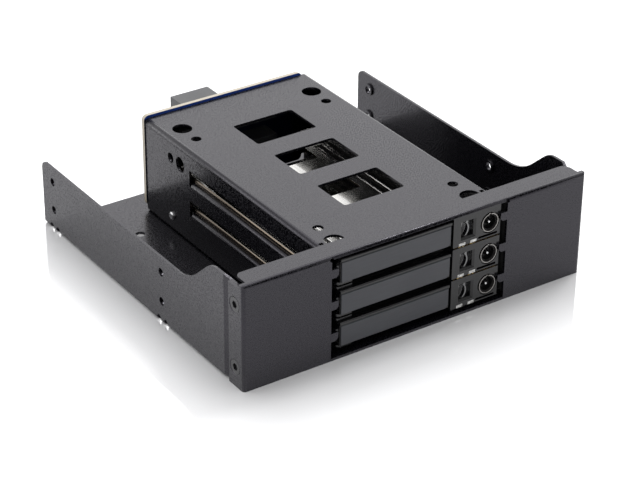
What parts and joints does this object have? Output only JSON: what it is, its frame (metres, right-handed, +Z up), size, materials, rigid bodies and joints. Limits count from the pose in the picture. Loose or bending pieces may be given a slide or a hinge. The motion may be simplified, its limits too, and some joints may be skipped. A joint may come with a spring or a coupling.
{
  "type": "hot swap drive cage",
  "caption": "Half-height bay bracket with a hot swap cage: removable drive trays with swing levers, sprung latches and key locks, on a backplane board.",
  "frame": {"origin": "centre of the bottom screw pattern, on the bracket's underside", "axes": "+X to the right seen from the front, +Y to the rear, +Z up"},
  "size_m": [0.146, 0.1423, 0.0412],
  "materials": {
    "black_steel": "fine textured powder coat",
    "black_screw": "black oxide",
    "circuit_board": "blue solder mask",
    "plated_screw": "zinc plated",
    "connector_plastic": "moulded",
    "zinc_plate": "zinc plated sheet",
    "black_plastic": "moulded",
    "clear_plastic": "frosted clear",
    "lock_chrome": "polished",
    "spring_steel": "bright",
    "face_metal": "brushed and anodised dark",
    "latch_plastic": "moulded",
    "lock_black": "black"
  },
  "bodies": {
    "chassis": {"bay_bracket": "black_steel", "front_bezel": "black_steel", "bezel_screws": "black_screw", "cage_cover": "black_steel", "cage_side_left": "black_steel", "cage_side_right": "black_steel", "cage_screws": "black_screw", "cage_rivets": "plated_screw", "backplane_board": "circuit_board", "backplane_screws": "plated_screw", "power_port": "connector_plastic", "drive_socket_1": "connector_plastic", "data_port_1": "connector_plastic", "drive_socket_2": "connector_plastic", "data_port_2": "connector_plastic", "drive_socket_3": "connector_plastic", "data_port_3": "connector_plastic"},
    "tray_1": {"tray_1_pan": "zinc_plate", "tray_1_screws": "plated_screw", "tray_1_front": "black_plastic", "tray_1_light_pipes": "clear_plastic", "tray_1_hinge_pin": "plated_screw", "tray_1_lock_ring": "lock_chrome", "tray_1_latch_spring": "spring_steel"},
    "lever_1": {"tray_1_lever": "black_plastic", "tray_1_lever_face": "face_metal"},
    "latch_1": {"tray_1_latch": "latch_plastic"},
    "lock_1": {"tray_1_lock_barrel": "lock_black"},
    "tray_2": {"tray_2_pan": "zinc_plate", "tray_2_screws": "plated_screw", "tray_2_front": "black_plastic", "tray_2_light_pipes": "clear_plastic", "tray_2_hinge_pin": "plated_screw", "tray_2_lock_ring": "lock_chrome", "tray_2_latch_spring": "spring_steel"},
    "lever_2": {"tray_2_lever": "black_plastic", "tray_2_lever_face": "face_metal"},
    "latch_2": {"tray_2_latch": "latch_plastic"},
    "lock_2": {"tray_2_lock_barrel": "lock_black"},
    "tray_3": {"tray_3_pan": "zinc_plate", "tray_3_screws": "plated_screw", "tray_3_front": "black_plastic", "tray_3_light_pipes": "clear_plastic", "tray_3_hinge_pin": "plated_screw", "tray_3_lock_ring": "lock_chrome", "tray_3_latch_spring": "spring_steel"},
    "lever_3": {"tray_3_lever": "black_plastic", "tray_3_lever_face": "face_metal"},
    "latch_3": {"tray_3_latch": "latch_plastic"},
    "lock_3": {"tray_3_lock_barrel": "lock_black"}
  },
  "joints": [
    {"name": "tray_1_slide", "type": "slide", "parent": "chassis", "child": "tray_1", "axis": [0, -1, 0], "range_m": [0, 0.105]},
    {"name": "lever_1_swing", "type": "hinge", "parent": "tray_1", "child": "lever_1", "pos_m": [-0.031, -0.08872, 0.0085], "axis": [0, 0, -1], "range_deg": [0, 75]},
    {"name": "latch_1_slide", "type": "slide", "parent": "tray_1", "child": "latch_1", "axis": [1, 0, 0], "range_m": [0, 0.002], "stiffness_N_per_m": 200, "springref_m": -0.001, "deforming": ["tray_1_latch_spring"]},
    {"name": "lock_1_turn", "type": "hinge", "parent": "tray_1", "child": "lock_1", "pos_m": [0.0306, -0.09193, 0.0082], "axis": [0, 1, 0], "range_deg": [0, 90]},
    {"name": "tray_2_slide", "type": "slide", "parent": "chassis", "child": "tray_2", "axis": [0, -1, 0], "range_m": [0, 0.105]},
    {"name": "lever_2_swing", "type": "hinge", "parent": "tray_2", "child": "lever_2", "pos_m": [-0.031, -0.08872, 0.0211], "axis": [0, 0, -1], "range_deg": [0, 75]},
    {"name": "latch_2_slide", "type": "slide", "parent": "tray_2", "child": "latch_2", "axis": [1, 0, 0], "range_m": [0, 0.002], "stiffness_N_per_m": 200, "springref_m": -0.001, "deforming": ["tray_2_latch_spring"]},
    {"name": "lock_2_turn", "type": "hinge", "parent": "tray_2", "child": "lock_2", "pos_m": [0.0306, -0.09193, 0.0208], "axis": [0, 1, 0], "range_deg": [0, 90]},
    {"name": "tray_3_slide", "type": "slide", "parent": "chassis", "child": "tray_3", "axis": [0, -1, 0], "range_m": [0, 0.105]},
    {"name": "lever_3_swing", "type": "hinge", "parent": "tray_3", "child": "lever_3", "pos_m": [-0.031, -0.08872, 0.0337], "axis": [0, 0, -1], "range_deg": [0, 75]},
    {"name": "latch_3_slide", "type": "slide", "parent": "tray_3", "child": "latch_3", "axis": [1, 0, 0], "range_m": [0, 0.002], "stiffness_N_per_m": 200, "springref_m": -0.001, "deforming": ["tray_3_latch_spring"]},
    {"name": "lock_3_turn", "type": "hinge", "parent": "tray_3", "child": "lock_3", "pos_m": [0.0306, -0.09193, 0.0334], "axis": [0, 1, 0], "range_deg": [0, 90]}
  ]
}
